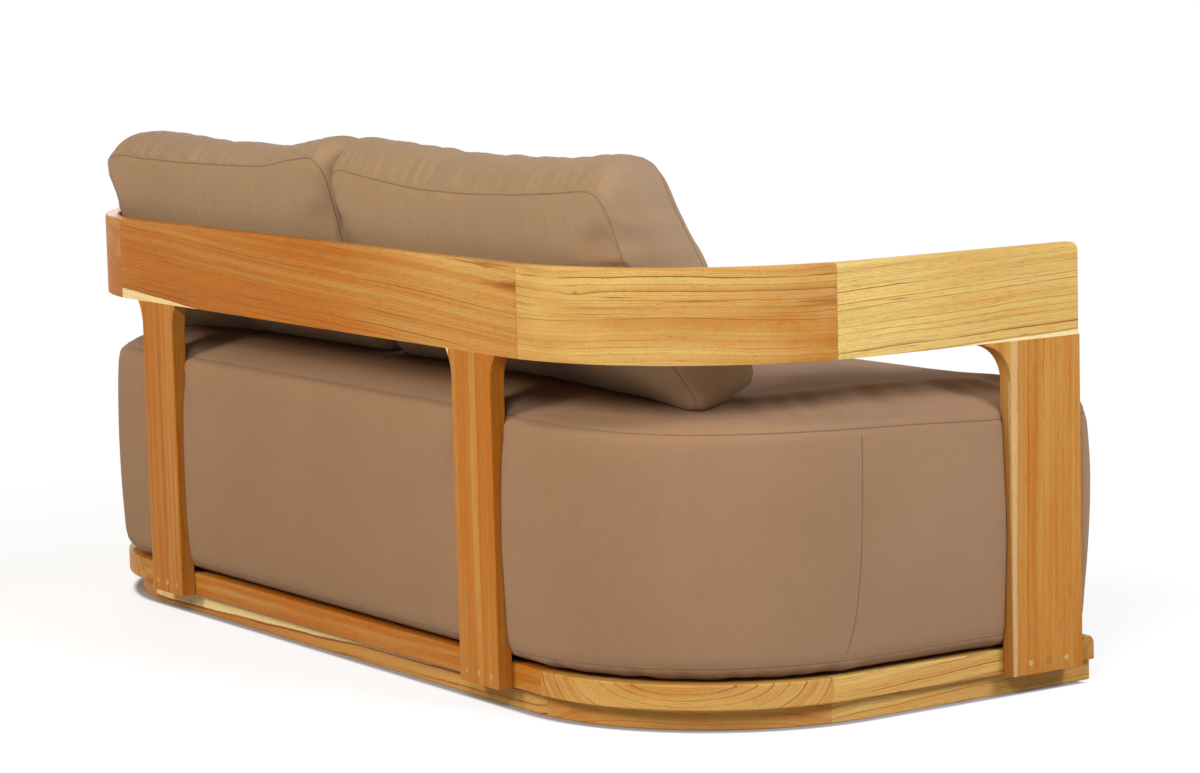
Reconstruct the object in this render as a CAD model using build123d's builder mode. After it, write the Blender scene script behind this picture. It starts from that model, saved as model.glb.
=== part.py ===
"""Patio loveseat: a hooped teak frame on a two-layer base, with one thick seat
cushion notched around four posts and two loose back cushions.

Millimetres, +Z up. The origin lies on the floor under the middle of the bounding
box. The seat faces -Y, so the sitter's left arm is on +X.
"""

import os
from math import acos, asin, cos, radians, sin

from build123d import *

os.makedirs("parts", exist_ok=True)

# Overall sizes
overall_width = 1820
overall_depth = 752
half_width = overall_width / 2
back_y = overall_depth / 2
front_y = -overall_depth / 2

# One overrun serves every cut, and one slack every glued or screwed hole
overrun = 20
hole_slack = 0.05
soft_gap = 0.3

# Rail hoop
board = 24
rail_top = 620
rail_height = 127
rail_bottom = rail_top - rail_height
rail_radius = 358
arm_front_setback = 42
arm_end_y = front_y + arm_front_setback
back_joint_reach = 322
arm_joint_reach = 297
joint_x = half_width - back_joint_reach
joint_y = back_y - arm_joint_reach
lamination_z = (rail_top + rail_bottom) / 2
rail_top_rounding = 6
arm_nose_radius = 11

# Posts
back_post_width = 100
back_post_reach = 392
back_post_outer_x = half_width - back_post_reach
back_post_x = back_post_outer_x - back_post_width / 2
back_post_flare = 14
back_post_flare_height = 42
arm_post_width = 124
arm_post_y = arm_end_y + arm_post_width / 2
arm_bracket = 45
arm_bracket_height = 55
arm_bracket_tip = 3
post_ease = 2

# Base ring, the layer that the posts are screwed to
plinth_height = 31
ring_height = 35
ring_top = plinth_height + ring_height
ring_inset = board
ring_width = 66
ring_front_width = 44
ring_radius = rail_radius - 2 * board
ring_ease = 2.5
ring_front_rounding = 12

# Plinth, the layer on the floor
plinth_step = 12
plinth_inset = ring_inset + plinth_step
plinth_width = 60
plinth_radius_gain = 18
plinth_radius = ring_radius + plinth_radius_gain
plinth_joint_stagger = 7
plinth_ease = 2

# Deck
slat_count = 10
slat_width = 120
slat_thickness = 18
slat_clearance = 1
slat_end_margin = 12
cleat_width = 25
slat_bottom = ring_top - slat_thickness
cleat_height = slat_bottom - plinth_height

# Fasteners
plug_radius = 4.75
plug_depth = 8
screw_head_radius = 4.6
screw_head_height = 3.5
screw_radius = 2.5
post_screw_length = 50
post_screw_count = 3
back_post_screw_spacing = 32
arm_post_screw_spacing = 32
post_screw_rise = 16
post_screw_z = plinth_height + post_screw_rise
dowel_radius = 5
dowel_length = 60
ring_dowel_length = 40
post_dowel_spacing = 50
ring_dowel_spacing = 26
rail_dowel_margin = 30
base_screw_length = 44
base_screw_recess = 11

# Seat cushion
seat_inset = 13
seat_bulge = 5
seat_radius = rail_radius - seat_inset
seat_front_radius = 26
seat_front_setback = 7
seat_foot_rise = 18
seat_border_height = 321
seat_crown_rise = 30
seat_bottom_seam_z = ring_top + seat_foot_rise
seat_top_seam_z = seat_bottom_seam_z + seat_border_height
seat_crown_z = seat_top_seam_z + seat_crown_rise
seat_underside_curl = 24
seat_lip_radius = 13
seat_post_clearance = 1

# Back cushions
cushion_recline = 20
cushion_end_clearance = 165
cushion_width = half_width - cushion_end_clearance
cushion_height = 298
cushion_border = 108
cushion_front_crown = 48
cushion_rear_crown = 34
cushion_top_swell = 36
cushion_side_swell = 12
cushion_foot_swell = 6
cushion_top_taper = 30
cushion_sag = 14
cushion_corner_radius = 30
cushion_start_clearance = 85
settle_steps = 4

sides = (("left", 1), ("right", -1))


def hooped_plan(level, inset, back_radius, front):
    """Plan outline with two large back corners, set in from the rail's outer face."""
    x = half_width - inset
    y = back_y - inset
    with BuildSketch(Plane.XY.offset(level)) as plan:
        with Locations((0, (y + front) / 2)):
            Rectangle(2 * x, y - front)
        fillet(plan.vertices().group_by(Axis.Y)[-1], back_radius)
    return plan.sketch


def boards(solid, *cuts):
    """Part of a solid that lies on the kept side of each cutting plane."""
    with BuildPart() as piece:
        add(solid)
        for plane, keep in cuts:
            split(bisect_by=plane, keep=keep)
    return piece.part


def beyond(axis_plane, distance, side):
    """Cut that keeps what lies farther out than distance on the given side."""
    if side > 0:
        return axis_plane.offset(distance), Keep.TOP
    return axis_plane.offset(-distance), Keep.BOTTOM


def save(part, name):
    """Label one node and write its file."""
    part.label = name
    export_step(part, f"parts/{name}.step")


# Places of the fasteners
def rail_dowel_places():
    """Dowels across the rail's butt joints, in line with the bend where they lie."""
    levels = (rail_bottom + rail_dowel_margin, rail_top - rail_dowel_margin)
    middle = rail_radius - board / 2
    bend_x = half_width - rail_radius
    bend_y = back_y - rail_radius
    places = []
    for level in levels:
        for _, side in sides:
            for turn in (asin((joint_x - bend_x) / middle), acos((joint_y - bend_y) / middle)):
                centre = Vector(side * (bend_x + middle * sin(turn)),
                                bend_y + middle * cos(turn), level)
                along = (side * cos(turn), -sin(turn), 0)
                places.append(Location(Plane(origin=centre, z_dir=along)))
    return places


def post_dowel_places():
    """Centres of the dowels between each post's top and the rail's underside."""
    places = []
    for shift in (-post_dowel_spacing / 2, post_dowel_spacing / 2):
        for _, side in sides:
            back = Vector(side * back_post_x + shift, back_y - board / 2, rail_bottom)
            arm = Vector(side * (half_width - board / 2), arm_post_y + shift, rail_bottom)
            places.append(Location(Plane(origin=back, z_dir=(0, 0, 1))))
            places.append(Location(Plane(origin=arm, z_dir=(0, 0, 1))))
    return places


def ring_dowel_places():
    """Centres of the dowels across the ring's joints, two to a joint."""
    level = plinth_height + ring_height / 2
    middle = ring_inset + ring_width / 2
    places = []
    for shift in (-ring_dowel_spacing / 2, ring_dowel_spacing / 2):
        for _, side in sides:
            back = Vector(side * joint_x, back_y - middle + shift, level)
            flank = Vector(side * (half_width - middle + shift), joint_y, level)
            corner = Vector(side * (half_width - middle + shift), front_y + ring_front_width, level)
            places.append(Location(Plane(origin=back, z_dir=(1, 0, 0))))
            places.append(Location(Plane(origin=flank, z_dir=(0, 1, 0))))
            places.append(Location(Plane(origin=corner, z_dir=(0, 1, 0))))
    return places


def post_screw_places():
    """Outer-face points of the post screws, each turned to point inwards."""
    places = []
    for index in range(post_screw_count):
        step = index - (post_screw_count - 1) / 2
        for _, side in sides:
            x = side * back_post_x + step * back_post_screw_spacing
            y = arm_post_y + step * arm_post_screw_spacing
            back = Vector(x, back_y, post_screw_z)
            arm = Vector(side * half_width, y, post_screw_z)
            places.append(Location(Plane(origin=back, z_dir=(0, -1, 0))))
            places.append(Location(Plane(origin=arm, z_dir=(-side, 0, 0))))
    return places


base_back_screw_shares = (-0.5, 0.5)
base_front_screw_shares = (-0.6, 0, 0.6)
base_side_screw_shares = (0.4,)


def base_screw_places():
    """Underside points of the screws that rise through the plinth into the ring."""
    inset = plinth_inset + plinth_width / 2
    places = []
    for share in base_back_screw_shares:
        places.append(Location((share * joint_x, back_y - inset, 0)))
    for share in base_front_screw_shares:
        places.append(Location((share * half_width, front_y + plinth_width / 2, 0)))
    side_run = joint_y - (arm_post_y + arm_post_width / 2)
    corner_pull = plinth_radius - plinth_width / 2
    for _, side in sides:
        for share in base_side_screw_shares:
            places.append(Location((side * (half_width - inset), joint_y - share * side_run, 0)))
        screw_x = half_width - plinth_inset - plinth_radius + corner_pull * sin(radians(45))
        screw_y = back_y - plinth_inset - plinth_radius + corner_pull * cos(radians(45))
        places.append(Location((side * screw_x, screw_y, 0)))
    return places


slat_run = 2 * (half_width - ring_inset - ring_width - slat_end_margin)
slat_pitch = (slat_run - slat_width) / (slat_count - 1)
slat_xs = [(index - (slat_count - 1) / 2) * slat_pitch for index in range(slat_count)]
deck_back_y = back_y - ring_inset - ring_width
deck_front_y = front_y + ring_front_width
deck_half_width = half_width - ring_inset - ring_width
deck_radius = ring_radius - ring_width
straight_x = deck_half_width - deck_radius
corner_y = deck_back_y - deck_radius

rail_dowels_at = rail_dowel_places()
post_dowels_at = post_dowel_places()
ring_dowels_at = ring_dowel_places()
post_screws_at = post_screw_places()
base_screws_at = base_screw_places()


def drill_dowels(places, length):
    """Cut dowel holes into the piece of the open part context."""
    with Locations(*places):
        Cylinder(dowel_radius + hole_slack, length, mode=Mode.SUBTRACT)


def post_screw_hole():
    """Hole for a plug, a screw head and its shank, drilled down +Z from the outer face."""
    seat = plug_depth + screw_head_height
    with BuildPart() as hole:
        with BuildSketch(Plane.XY.offset(-overrun)):
            Circle(plug_radius + hole_slack)
        extrude(amount=overrun + seat)
        with BuildSketch(Plane.XY.offset(seat)):
            Circle(screw_radius + hole_slack)
        extrude(amount=post_screw_length + hole_slack)
    return hole.part


def base_screw_hole():
    """Counterbore and shank hole of a base screw, upwards from the plinth's underside."""
    with BuildPart() as hole:
        with BuildSketch(Plane.XY.offset(-overrun)):
            Circle(screw_head_radius + hole_slack)
        extrude(amount=overrun + base_screw_recess)
        with BuildSketch(Plane.XY.offset(base_screw_recess)):
            Circle(screw_radius + hole_slack)
        extrude(amount=base_screw_length + hole_slack)
    return hole.part


post_hole = post_screw_hole()
base_hole = base_screw_hole()


def drill(hole, places):
    """Cut the same hole at each place into the piece of the open part context."""
    add([hole.moved(place) for place in places], mode=Mode.SUBTRACT)


# Rail hoop, shaped as one and then sawn at its joints
with BuildPart() as rail_hoop:
    with BuildSketch(Plane.XY.offset(rail_bottom)):
        add(hooped_plan(0, 0, rail_radius, arm_end_y))
        add(hooped_plan(0, board, rail_radius - board, arm_end_y - overrun), mode=Mode.SUBTRACT)
    extrude(amount=rail_height)
    nose_edges = rail_hoop.edges().filter_by(Axis.X).group_by(Axis.Y)[0].group_by(Axis.Z)[-1]
    fillet(nose_edges, arm_nose_radius)
    top_edges = rail_hoop.faces().sort_by(Axis.Z)[-1].edges()
    fillet(top_edges.filter_by(Axis.X, reverse=True) + top_edges.filter_by(
        lambda edge: edge.length > joint_x), rail_top_rounding)
    drill_dowels(rail_dowels_at, dowel_length)
    drill_dowels(post_dowels_at, dowel_length)

hoop = rail_hoop.part
save(boards(hoop, (Plane.YZ.offset(joint_x), Keep.BOTTOM),
            (Plane.YZ.offset(-joint_x), Keep.TOP)), "back_rail")
for word, side in sides:
    corner_cuts = (beyond(Plane.YZ, joint_x, side), (Plane.XZ.offset(-joint_y), Keep.BOTTOM))
    upper = (Plane.XY.offset(lamination_z), Keep.TOP)
    lower = (Plane.XY.offset(lamination_z), Keep.BOTTOM)
    arm_cuts = (beyond(Plane.YZ, joint_x, side), (Plane.XZ.offset(-joint_y), Keep.TOP))
    save(boards(hoop, *corner_cuts, upper), f"{word}_corner_rail_upper")
    save(boards(hoop, *corner_cuts, lower), f"{word}_corner_rail_lower")
    save(boards(hoop, *arm_cuts), f"{word}_arm_rail")


# Back posts, flared where they meet the rail
def back_post(side):
    """Blank of a back post on the given side."""
    half = back_post_width / 2
    flare_z = rail_bottom - back_post_flare_height
    with BuildPart() as post:
        with BuildSketch(Plane.XZ.offset(-back_y)):
            with BuildLine():
                foot = Line((-half, plinth_height), (half, plinth_height))
                right = Line(foot @ 1, (half, flare_z))
                flare = TangentArc(right @ 1, (half + back_post_flare, rail_bottom),
                                   tangent=right % 1)
                top = Line(flare @ 1, (-half - back_post_flare, rail_bottom))
                left = Line(foot @ 0, (-half, flare_z))
                TangentArc(left @ 1, top @ 1, tangent=left % 1)
            make_face()
        extrude(amount=board)
        fillet(post.edges().filter_by(Axis.Z), post_ease)
    return post.part.moved(Location((side * back_post_x, 0, 0)))


# Arm posts, flush with the arm's front end and bracketed behind
def arm_post(side):
    """Blank of an arm post on the given side."""
    half = arm_post_width / 2
    bracket_z = rail_bottom - arm_bracket_height
    outer = half_width if side > 0 else board - half_width
    with BuildPart() as post:
        with BuildSketch(Plane.YZ.offset(outer)):
            with BuildLine():
                foot = Line((half, plinth_height), (-half, plinth_height))
                front = Line(foot @ 1, (-half, rail_bottom))
                rear = Line(foot @ 0, (half, bracket_z))
                bracket = TangentArc(rear @ 1, (half + arm_bracket, rail_bottom - arm_bracket_tip),
                                     tangent=rear % 1)
                tip = Line(bracket @ 1, (half + arm_bracket, rail_bottom))
                Line(front @ 1, tip @ 1)
            make_face()
        extrude(amount=-board)
        fillet(post.edges().filter_by(Axis.Z).filter_by(lambda edge: edge.length > arm_bracket_tip),
               post_ease)
    return post.part.moved(Location((0, arm_post_y, 0)))


for word, side in sides:
    for kind, blank in (("back", back_post(side)), ("arm", arm_post(side))):
        with BuildPart() as post:
            add(blank)
            drill_dowels(post_dowels_at, dowel_length)
            drill(post_hole, post_screws_at)
        save(post.part, f"{word}_{kind}_post")

# Base ring, with its front board running full width
with BuildPart() as ring_hoop:
    with BuildSketch(Plane.XY.offset(plinth_height)):
        add(hooped_plan(0, ring_inset, ring_radius, front_y))
        add(hooped_plan(0, ring_inset + ring_width, deck_radius, deck_front_y), mode=Mode.SUBTRACT)
    extrude(amount=ring_height)
    top_rim = ring_hoop.faces().filter_by(Axis.Z).sort_by(Axis.Z)[-1].outer_wire()
    fillet(top_rim.edges().group_by(Axis.Y)[0], ring_front_rounding)
    rims = ring_hoop.faces().filter_by(Axis.Z).sort_by(Axis.Z)
    fillet(rims[-1].outer_wire().edges().group_by(Axis.Y)[1:], ring_ease)
    fillet(rims[0].outer_wire().edges(), ring_ease)
    drill_dowels(ring_dowels_at, ring_dowel_length)
    drill(post_hole, post_screws_at)
    drill(base_hole, base_screws_at)

ring = ring_hoop.part
front_joint = Plane.XZ.offset(-deck_front_y)
save(boards(ring, (Plane.YZ.offset(joint_x), Keep.BOTTOM), (Plane.YZ.offset(-joint_x), Keep.TOP),
            (Plane.XZ, Keep.BOTTOM)), "ring_back")
save(boards(ring, (front_joint, Keep.TOP)), "ring_front")
for word, side in sides:
    out = beyond(Plane.YZ, joint_x, side)
    save(boards(ring, out, (Plane.XZ.offset(-joint_y), Keep.BOTTOM)), f"ring_{word}_corner")
    save(boards(ring, out, (Plane.XZ.offset(-joint_y), Keep.TOP), (front_joint, Keep.BOTTOM)),
         f"ring_{word}_side")

# Plinth, with its sides running through to the front
plinth_joint_x = joint_x - plinth_joint_stagger
plinth_joint_y = joint_y - plinth_joint_stagger
plinth_inner_x = half_width - plinth_inset - plinth_width
with BuildPart() as plinth_hoop:
    with BuildSketch(Plane.XY):
        add(hooped_plan(0, plinth_inset, plinth_radius, front_y))
        add(hooped_plan(0, plinth_inset + plinth_width, plinth_radius - plinth_width,
                        front_y + plinth_width), mode=Mode.SUBTRACT)
    extrude(amount=plinth_height)
    floor_rim = plinth_hoop.faces().filter_by(Axis.Z).sort_by(Axis.Z)[0]
    fillet(floor_rim.outer_wire().edges(), plinth_ease)
    drill(base_hole, base_screws_at)

plinth = plinth_hoop.part
save(boards(plinth, (Plane.YZ.offset(plinth_joint_x), Keep.BOTTOM),
            (Plane.YZ.offset(-plinth_joint_x), Keep.TOP), (Plane.XZ, Keep.BOTTOM)), "plinth_back")
save(boards(plinth, (Plane.YZ.offset(plinth_inner_x), Keep.BOTTOM),
            (Plane.YZ.offset(-plinth_inner_x), Keep.TOP),
            (Plane.XZ.offset(-(front_y + plinth_width + overrun)), Keep.TOP)), "plinth_front")
for word, side in sides:
    corner_out = beyond(Plane.YZ, plinth_joint_x, side)
    side_out = beyond(Plane.YZ, plinth_inner_x, side)
    joint = Plane.XZ.offset(-plinth_joint_y)
    save(boards(plinth, corner_out, (joint, Keep.BOTTOM)), f"plinth_{word}_corner")
    save(boards(plinth, side_out, (joint, Keep.TOP)), f"plinth_{word}_side")

# Cleats along the ring and blocks in its curved corners carry the slats
with BuildPart() as back_cleat:
    with BuildSketch(Plane.XY.offset(plinth_height)):
        with Locations((0, deck_back_y)):
            Rectangle(2 * straight_x, cleat_width, align=(Align.CENTER, Align.MAX))
    extrude(amount=cleat_height)
save(back_cleat.part, "back_cleat")

with BuildPart() as front_cleat:
    with BuildSketch(Plane.XY.offset(plinth_height)):
        with Locations((0, deck_front_y)):
            Rectangle(2 * deck_half_width, cleat_width, align=(Align.CENTER, Align.MIN))
    extrude(amount=cleat_height)
save(front_cleat.part, "front_cleat")

for word, side in sides:
    with BuildPart() as block:
        with BuildSketch(Plane.XY.offset(plinth_height)):
            with BuildLine():
                arc = RadiusArc((side * straight_x, deck_back_y), (side * deck_half_width, corner_y),
                                side * deck_radius)
                inner = Line(arc @ 1, (side * (deck_half_width - cleat_width), corner_y))
                chord = Line(inner @ 1, (side * straight_x, deck_back_y - cleat_width))
                Line(chord @ 1, arc @ 0)
            make_face()
        extrude(amount=cleat_height)
    save(block.part, f"{word}_corner_block")

with BuildPart() as deck_slats:
    with BuildSketch(Plane.XY.offset(slat_bottom)):
        with Locations(*[(x, (deck_back_y + deck_front_y) / 2) for x in slat_xs]):
            Rectangle(slat_width, deck_back_y - deck_front_y)
        add(hooped_plan(0, ring_inset + ring_width + slat_clearance, deck_radius - slat_clearance,
                        deck_front_y + slat_clearance), mode=Mode.INTERSECT)
    extrude(amount=slat_thickness)
save(deck_slats.part, "deck_slats")


# Fasteners, each kind in one node
def pegs(places, radius, length):
    """Plain round pegs centred on their places."""
    with BuildPart() as group:
        with Locations(*places):
            Cylinder(radius, length)
    return group.part


save(pegs(rail_dowels_at, dowel_radius, dowel_length), "rail_dowels")
save(pegs(post_dowels_at, dowel_radius, dowel_length), "post_dowels")
save(pegs(ring_dowels_at, dowel_radius, ring_dowel_length), "ring_dowels")


def screw(head_radius, head_height, radius, length, start):
    """Screw along +Z whose head begins at start."""
    with BuildPart() as body:
        with BuildSketch(Plane.XY.offset(start)):
            Circle(head_radius)
        extrude(amount=head_height)
        with BuildSketch(Plane.XY.offset(start + head_height)):
            Circle(radius)
        extrude(amount=length)
    return body.part


def copies(solid, places):
    """Group of equal solids, one at each place."""
    with BuildPart() as group:
        add([solid.moved(place) for place in places])
    return group.part


post_screw = screw(screw_head_radius, screw_head_height, screw_radius, post_screw_length, plug_depth)
save(copies(post_screw, post_screws_at), "post_screws")

with BuildPart() as plug:
    Cylinder(plug_radius, plug_depth, align=(Align.CENTER, Align.CENTER, Align.MIN))
save(copies(plug.part, post_screws_at), "post_plugs")

base_head_start = base_screw_recess - screw_head_height
base_screw = screw(screw_head_radius, screw_head_height, screw_radius, base_screw_length,
                   base_head_start)
save(copies(base_screw, base_screws_at), "base_screws")

# Seat cushion: a curled underside, a swelling border and a crown lower at the back
seat_front_round_share = 0.2
seat_widest_share = 0.67


def seat_section(level, inset, rear_inset):
    """Plan outline of the seat cushion at one level."""
    x = half_width - inset
    rear = back_y - rear_inset
    front = front_y + seat_front_setback + inset - seat_inset
    radius = seat_radius * (rear - front) / (overall_depth - seat_front_setback - seat_inset)
    shrink = max(0, inset - seat_inset) * seat_front_round_share
    with BuildSketch(Plane.XY.offset(level)) as section:
        with Locations((0, (rear + front) / 2)):
            Rectangle(2 * x, rear - front)
        fillet(section.vertices().group_by(Axis.Y)[-1], radius)
        fillet(section.vertices().group_by(Axis.Y)[0], seat_front_radius + shrink)
    return section.sketch


seat_underside_shares = ((0, 1), (0.25, 0.45), (1, 0))
seat_crown_height_shares = (0, 0.5, 0.8, 1)
seat_crown_inset_shares = (0, 0.03, 0.12, 0.28)
seat_crown_rear_shares = (0, 0.08, 0.25, 0.46)


def seat_blank():
    """Seat cushion before its notches: underside, border and crown lofted in turn."""
    floor = ring_top + soft_gap
    rise = seat_bottom_seam_z - floor
    crown = seat_crown_z - seat_top_seam_z
    with BuildPart() as blank:
        sections = [seat_section(floor + share * rise, seat_inset + curl * seat_underside_curl,
                                 seat_inset + curl * seat_underside_curl)
                    for share, curl in seat_underside_shares]
        loft(sections, ruled=True)
        widest_z = seat_bottom_seam_z + seat_widest_share * seat_border_height
        seams = (seat_bottom_seam_z, widest_z, seat_top_seam_z)
        swell = (0, seat_bulge, 0)
        loft([seat_section(z, seat_inset - out, seat_inset - out) for z, out in zip(seams, swell)])
        shares = zip(seat_crown_height_shares, seat_crown_inset_shares, seat_crown_rear_shares)
        loft([seat_section(seat_top_seam_z + up * crown, seat_inset + flank * overall_depth,
                           seat_inset + rear * overall_depth) for up, flank, rear in shares])
    return blank.part


def post_notch(width):
    """Plan of a notch centred on a post: rounded lips, open towards +Y."""
    half = width / 2 + seat_post_clearance
    depth = board + seat_post_clearance
    mouth = -seat_inset
    with BuildSketch(Plane.XY) as notch:
        with BuildLine():
            floor = Line((-half, -depth), (half, -depth))
            right = Line(floor @ 1, (half, mouth - seat_lip_radius + seat_bulge))
            lip = RadiusArc(right @ 1, (half + seat_lip_radius, mouth + seat_bulge), seat_lip_radius)
            out = Line(lip @ 1, (half + seat_lip_radius, overrun))
            over = Line(out @ 1, (-half - seat_lip_radius, overrun))
            back = Line(over @ 1, (-half - seat_lip_radius, mouth + seat_bulge))
            far_lip = RadiusArc(back @ 1, (-half, mouth - seat_lip_radius + seat_bulge),
                                seat_lip_radius)
            Line(far_lip @ 1, floor @ 0)
        make_face()
    with BuildPart() as cutter:
        add(notch.sketch)
        extrude(amount=rail_bottom)
    return cutter.part


with BuildPart() as seat_cushion:
    add(seat_blank())
    back_notch = post_notch(back_post_width)
    arm_notch = post_notch(arm_post_width)
    for _, side in sides:
        add(back_notch.moved(Location((side * back_post_x, back_y, 0))), mode=Mode.SUBTRACT)
        turned = Location((side * half_width, arm_post_y, 0), (0, 0, -side * 90))
        add(arm_notch.moved(turned), mode=Mode.SUBTRACT)
save(seat_cushion.part, "seat_cushion")


# Back cushions: two crowned faces sewn to a swelling border, with a sagging top
def cushion_section(plane, outset, top_outset, foot_outset):
    """Outline of the left cushion across its thickness, tapered up its outer side."""
    inner_x = -cushion_width / 2 - outset
    outer_x = cushion_width / 2 + outset
    top = cushion_height + top_outset
    radius = max(cushion_corner_radius + outset, cushion_corner_radius / 2)
    with BuildSketch(plane) as section:
        with BuildLine():
            foot = Line((inner_x, -foot_outset), (outer_x, -foot_outset))
            outer_edge = Line(foot @ 1, (outer_x - cushion_top_taper, top))
            sag_x = (inner_x + outer_x - cushion_top_taper) / 2
            crest = ThreePointArc(outer_edge @ 1, (sag_x, top - cushion_sag), (inner_x, top))
            Line(crest @ 1, foot @ 0)
        make_face()
        fillet(section.vertices(), radius)
    return section.sketch


crown_depth_shares = (0, 0.38, 0.76, 1)
crown_inset_shares = (0, 0.07, 0.2, 0.36)


def crowned_face(rear, start, crown):
    """Crown of one face, lofted from its seam to its fullest part."""
    sections = []
    for depth, inset in zip(crown_depth_shares, crown_inset_shares):
        draw_in = -inset * cushion_height
        sections.append(cushion_section(rear.offset(start + depth * crown), draw_in, draw_in, draw_in))
    return sections


def settled(cushion, seat, rail):
    """Cushion moved back and down until it lies a soft gap from its seat and from the rail."""
    for _ in range(settle_steps):
        for support, way in ((seat, Vector(0, 0, -1)), (rail, Vector(0, 1, 0))):
            room = cushion.distance_to(support) - soft_gap
            cushion = cushion.moved(Location(way * room))
    return cushion


recline = radians(cushion_recline)
inner_seam_x = cushion_side_swell + soft_gap
corner_run = max(0, rail_radius - cushion_end_clearance)
corner_depth = rail_radius - ((rail_radius - board)**2 - corner_run**2) ** 0.5
foot_y = back_y - corner_depth - cushion_start_clearance
foot_origin = (inner_seam_x + cushion_width / 2, foot_y, seat_crown_z)
rear_plane = Plane(origin=foot_origin, x_dir=(1, 0, 0), z_dir=(0, -cos(recline), sin(recline)))
with BuildPart() as back_cushion:
    loft([
        cushion_section(rear_plane, 0, 0, 0),
        cushion_section(rear_plane.offset(cushion_border / 2), cushion_side_swell,
                        cushion_top_swell, cushion_foot_swell),
        cushion_section(rear_plane.offset(cushion_border), 0, 0, 0),
    ])
    loft(crowned_face(rear_plane, 0, -cushion_rear_crown))
    loft(crowned_face(rear_plane, cushion_border, cushion_front_crown))

left_cushion = settled(back_cushion.part, seat_cushion.part, hoop)
save(left_cushion, "left_back_cushion")
save(mirror(left_cushion, about=Plane.YZ), "right_back_cushion")
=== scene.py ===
"""Patio loveseat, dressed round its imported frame: teak boards and plugs, a sewn seat cushion
and two stuffed back cushions, on a plain floor in soft light. Metres, +Z up.
"""

import math
from functools import partial
from typing import NamedTuple

import bmesh
import bpy
import numpy as np
from mathutils import Matrix, Vector, noise
from mathutils.bvhtree import BVHTree
from mathutils.kdtree import KDTree


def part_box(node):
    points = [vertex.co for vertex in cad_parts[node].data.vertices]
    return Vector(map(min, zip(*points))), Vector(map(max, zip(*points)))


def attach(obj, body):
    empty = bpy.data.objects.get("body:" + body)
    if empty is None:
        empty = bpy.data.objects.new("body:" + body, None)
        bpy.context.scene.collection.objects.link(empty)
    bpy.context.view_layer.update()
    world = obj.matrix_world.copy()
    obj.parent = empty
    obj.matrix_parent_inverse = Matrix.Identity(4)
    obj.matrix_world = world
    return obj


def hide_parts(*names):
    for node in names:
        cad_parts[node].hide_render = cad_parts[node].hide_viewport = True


bl_info = {
    "name": "Patio Loveseat",
    "version": (1, 0, 0),
    "blender": (4, 5, 0),
    "location": "View3D > Sidebar > Loveseat",
    "description": "Builds the finishes and cushions of a teak patio loveseat on its packed frame",
    "category": "Object",
}

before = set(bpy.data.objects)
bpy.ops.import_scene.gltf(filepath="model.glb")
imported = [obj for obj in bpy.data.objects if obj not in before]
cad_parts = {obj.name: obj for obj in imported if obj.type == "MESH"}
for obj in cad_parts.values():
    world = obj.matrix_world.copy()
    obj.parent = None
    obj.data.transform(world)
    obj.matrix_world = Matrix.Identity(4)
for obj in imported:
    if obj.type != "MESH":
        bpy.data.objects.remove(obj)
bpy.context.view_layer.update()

# Centre of the rail's and the base's left bend; the right one mirrors it
BEND_X, BEND_Y = 0.552, 0.018


def tint(red, green, blue):
    """Colour written as it shows on a screen, 0 to 255, as the linear one that a shader takes."""
    shares = (channel / 255 for channel in (red, green, blue))
    return tuple(c / 12.92 if c <= 0.04045 else ((c + 0.055) / 1.055) ** 2.4 for c in shares)


def unit(*numbers):
    return Vector(numbers).normalized()


class Value:
    """What a node gives, for sums written as with plain numbers."""

    def __init__(self, words, socket):
        self.words, self.socket = words, socket

    def __add__(self, other):
        return self.words.math("ADD", self, other)

    def __sub__(self, other):
        return self.words.math("SUBTRACT", self, other)

    def __rsub__(self, other):
        return self.words.math("SUBTRACT", other, self)

    def __mul__(self, other):
        return self.words.math("MULTIPLY", self, other)

    def __truediv__(self, other):
        return self.words.math("DIVIDE", self, other)

    def __pow__(self, other):
        return self.words.math("POWER", self, other)

    def __rpow__(self, other):
        return self.words.math("POWER", other, self)

    def __abs__(self):
        return self.words.math("ABSOLUTE", self)


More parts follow.
